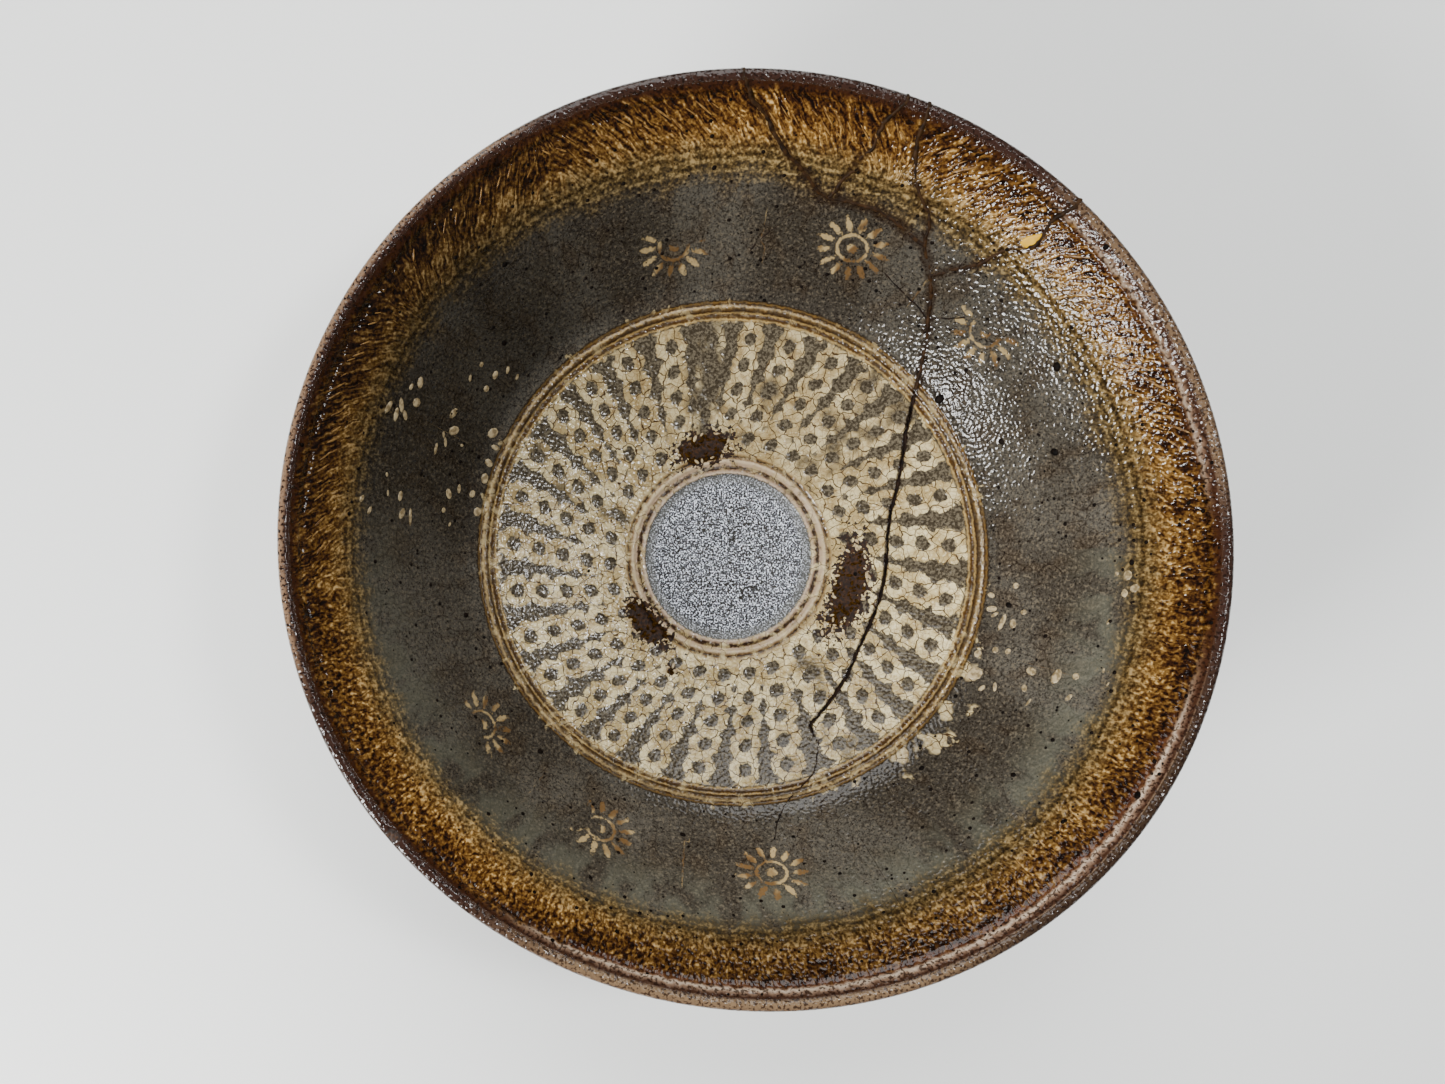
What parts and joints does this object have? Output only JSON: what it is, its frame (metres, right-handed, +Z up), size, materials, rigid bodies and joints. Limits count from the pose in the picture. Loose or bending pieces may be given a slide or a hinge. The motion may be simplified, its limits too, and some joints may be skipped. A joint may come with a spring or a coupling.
{
  "type": "cracked bowl",
  "caption": "Wide shallow stoneware bowl with an inlaid stamped pattern, cracked and glued, standing on a turned foot ring.",
  "frame": {"origin": "middle of the bowl's outline, at the bottom of the foot ring", "axes": "+Z up along the bowl's axis, out of its mouth; +Y towards the glued sherds at the rim"},
  "size_m": [0.211, 0.2082, 0.072],
  "materials": {
    "glazed_stoneware": "clear crazed glaze over grey clay with cream slip inlay and a brown rim",
    "yellow_filler": "smooth opaque resin, slightly glossy"
  },
  "bodies": {
    "root": {"bowl": "glazed_stoneware", "yellow_fill": "yellow_filler"}
  },
  "joints": []
}
